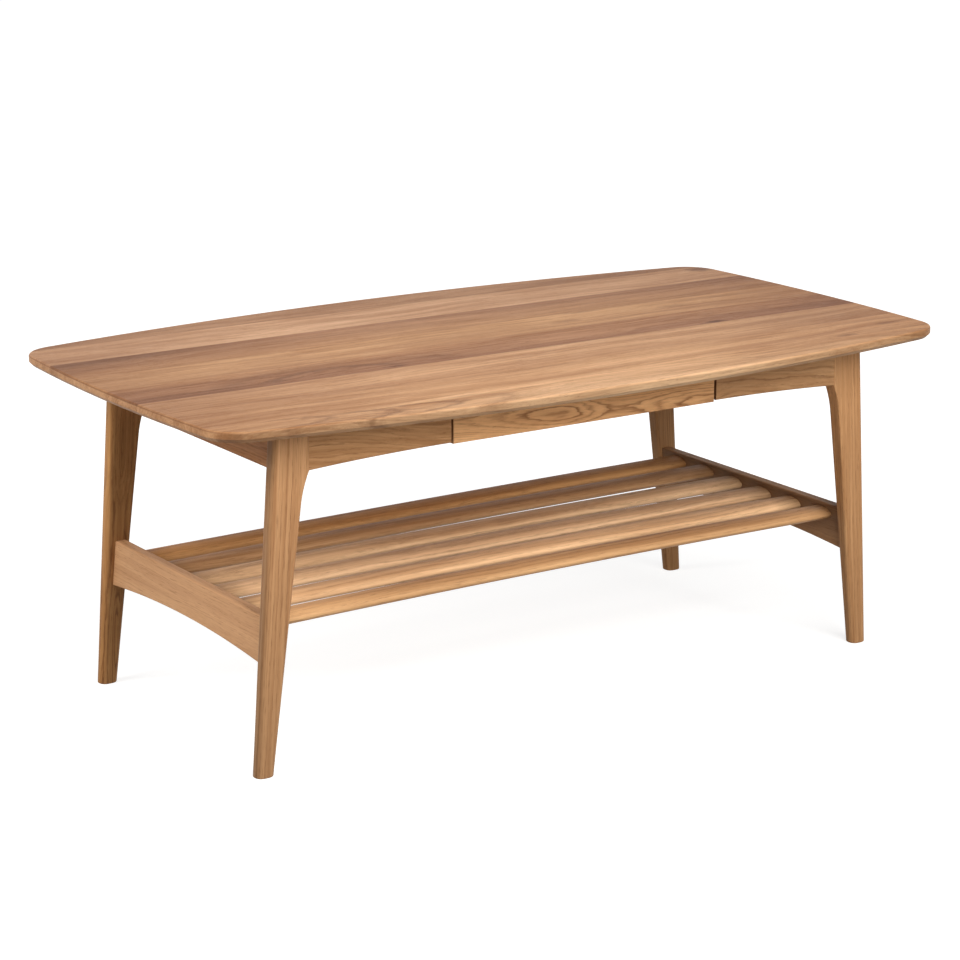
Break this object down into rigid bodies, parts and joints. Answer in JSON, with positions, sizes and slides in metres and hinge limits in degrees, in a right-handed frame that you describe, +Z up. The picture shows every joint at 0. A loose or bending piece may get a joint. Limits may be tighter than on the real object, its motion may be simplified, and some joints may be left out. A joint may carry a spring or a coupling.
{
  "type": "coffee table with drawer",
  "caption": "Low oak coffee table with a boat-shaped top, splayed tapered legs, arched aprons, a handleless drawer in the long side and a slatted shelf below.",
  "frame": {"origin": "on the floor, under the middle of the table top", "axes": "+X along the table to the right of a person facing the drawer, +Y away from that person towards the plain long side, +Z up"},
  "size_m": [1.2498, 0.6998, 0.496],
  "materials": {
    "top_oak": "oiled, satin",
    "leg_oak": "oiled, satin",
    "apron_oak": "oiled, satin",
    "end_rail_oak": "oiled, satin",
    "slat_oak": "oiled, satin",
    "inner_rail_oak": "planed, unfinished",
    "inner_block_oak": "planed, unfinished",
    "drawer_front_oak": "oiled, satin",
    "drawer_box_oak": "planed, matt",
    "drawer_back_oak": "planed, matt",
    "drawer_bottom_plywood": "matt",
    "screw_steel": "zinc plated"
  },
  "bodies": {
    "frame": {"table_top": "top_oak", "leg_front_right": "leg_oak", "leg_front_left": "leg_oak", "leg_back_right": "leg_oak", "leg_back_left": "leg_oak", "front_apron_right": "apron_oak", "front_apron_left": "apron_oak", "back_apron": "apron_oak", "end_apron_right": "end_rail_oak", "end_apron_left": "end_rail_oak", "end_stretcher_right": "end_rail_oak", "end_stretcher_left": "end_rail_oak", "shelf_slat_1": "slat_oak", "shelf_slat_2": "slat_oak", "shelf_slat_3": "slat_oak", "shelf_slat_4": "slat_oak", "shelf_slat_5": "slat_oak", "shelf_slat_6": "slat_oak", "cross_rail_right": "inner_rail_oak", "cross_rail_left": "inner_rail_oak", "drawer_runner_right": "inner_rail_oak", "drawer_runner_left": "inner_rail_oak", "corner_block_front_right": "inner_block_oak", "corner_block_front_left": "inner_block_oak", "corner_block_back_right": "inner_block_oak", "corner_block_back_left": "inner_block_oak", "drawer_stop_block": "inner_block_oak", "table_top_screws": "screw_steel"},
    "drawer": {"drawer_front": "drawer_front_oak", "drawer_side_right": "drawer_box_oak", "drawer_side_left": "drawer_box_oak", "drawer_back": "drawer_back_oak", "drawer_bottom": "drawer_bottom_plywood"}
  },
  "joints": [
    {"name": "drawer_slide", "type": "slide", "parent": "frame", "child": "drawer", "axis": [0, -1, 0], "range_m": [0, 0.26]}
  ]
}
